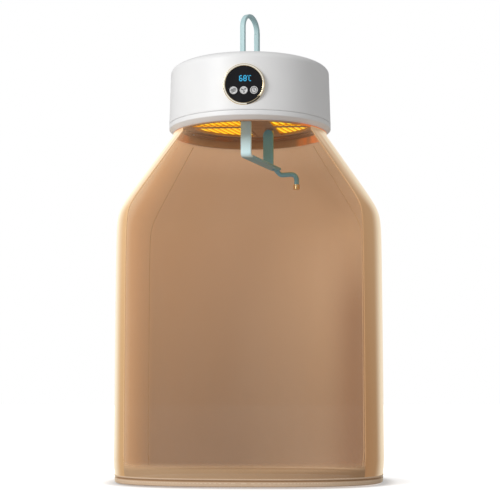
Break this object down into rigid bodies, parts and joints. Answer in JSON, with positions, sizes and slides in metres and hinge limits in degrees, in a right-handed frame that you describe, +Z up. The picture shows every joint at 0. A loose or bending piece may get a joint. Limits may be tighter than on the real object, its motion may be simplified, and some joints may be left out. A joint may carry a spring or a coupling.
{
  "type": "portable clothes dryer",
  "caption": "Portable clothes dryer: round heater head on a swivelling gated rail hook, folding hanging arm, fan, round display with buttons, and an open-bottomed drying bag.",
  "frame": {"origin": "on the axis of the thickest rail (40 mm) that the hook takes, above the middle of the head", "axes": "+Z up, -Y out of the display, +X to the right of someone who faces the display"},
  "size_m": [0.5426, 0.4718, 0.9575],
  "materials": {
    "white_shell": "smooth white moulding",
    "blue_steel": "satin pale blue-green paint",
    "bright_steel": "plain steel",
    "heater_tan": "heat-proof tan paint",
    "heater_glow": "finned element that glows yellow and orange",
    "dark_plastic": "black moulding",
    "grey_plastic": "grey moulding",
    "black_glass": "polished black window",
    "gold": "polished pale gold",
    "silver_button": "silver-grey key",
    "board_green": "circuit board",
    "filter_mesh": "dark filter mesh",
    "bearing_brass": "plain bearing metal",
    "bag_film": "warm brown see-through film",
    "bag_binding": "woven binding"
  },
  "bodies": {
    "head": {"top_cover": "white_shell", "base_ring": "white_shell", "cover_screw_1": "bright_steel", "cover_screw_2": "bright_steel", "cover_screw_3": "bright_steel", "cover_screw_4": "bright_steel", "upper_bridge": "bright_steel", "lower_bridge": "bright_steel", "tie_rod_front": "bright_steel", "tie_rod_rear": "bright_steel", "motor": "bright_steel", "arm_pin_front": "bright_steel", "arm_pin_rear": "bright_steel", "thermal_fuse": "bright_steel", "heater_plate": "heater_tan", "window_frame_left": "heater_tan", "window_frame_right": "heater_tan", "heater_left_front": "heater_glow", "heater_left_rear": "heater_glow", "heater_right_front": "heater_glow", "heater_right_rear": "heater_glow", "thermostat": "dark_plastic", "power_inlet": "dark_plastic", "fan_housing": "grey_plastic", "button_pad": "grey_plastic", "display_lens": "black_glass", "display_bezel": "gold", "control_board": "board_green", "display_board": "board_green", "intake_filter": "filter_mesh", "swivel_bush": "bearing_brass", "bag_shoulder": "bag_film", "bag_wall": "bag_film", "bag_collar": "bag_binding", "bag_hem": "bag_binding"},
    "hook": {"turret": "blue_steel", "rail_hook": "blue_steel", "hook_pin": "bright_steel", "gate_pin": "bright_steel", "gate_spring": "bright_steel", "swivel_nut": "bright_steel", "thrust_washer": "bearing_brass"},
    "gate": {"gate": "blue_steel"},
    "arm": {"hanging_arm": "blue_steel", "arm_end_cap": "bearing_brass", "arm_washer_front": "grey_plastic", "arm_washer_rear": "grey_plastic"},
    "fan": {"fan_rotor": "dark_plastic", "fan_shaft": "bright_steel", "fan_nut": "bright_steel"},
    "button_airflow": {"button_airflow": "silver_button"},
    "button_fan": {"button_fan": "silver_button"},
    "button_timer": {"button_timer": "silver_button"}
  },
  "joints": [
    {"name": "hook_swivel", "type": "hinge", "parent": "head", "child": "hook", "pos_m": [0, 0, -0.0824], "axis": [0, 0, 1], "continuous": true},
    {"name": "gate_hinge", "type": "hinge", "parent": "hook", "child": "gate", "pos_m": [0.01271, 0.02607, -0.0674], "axis": [0.8988, -0.4384, 0], "range_deg": [0, 58], "stiffness_Nm_per_rad": 0.35, "springref_deg": -14.32},
    {"name": "arm_fold", "type": "hinge", "parent": "head", "child": "arm", "pos_m": [0.0225, 0, -0.219], "axis": [0.284, 0.9588, 0], "range_deg": [0, 85]},
    {"name": "fan_spin", "type": "hinge", "parent": "head", "child": "fan", "pos_m": [0, 0, -0.13848], "axis": [0, 0, 1], "continuous": true},
    {"name": "press_airflow", "type": "slide", "parent": "head", "child": "button_airflow", "axis": [0, 1, 0], "range_m": [0, 0.0008], "stiffness_N_per_m": 400, "springref_m": -0.0006},
    {"name": "press_fan", "type": "slide", "parent": "head", "child": "button_fan", "axis": [0, 1, 0], "range_m": [0, 0.0008], "stiffness_N_per_m": 400, "springref_m": -0.0006},
    {"name": "press_timer", "type": "slide", "parent": "head", "child": "button_timer", "axis": [0, 1, 0], "range_m": [0, 0.0008], "stiffness_N_per_m": 400, "springref_m": -0.0006}
  ]
}
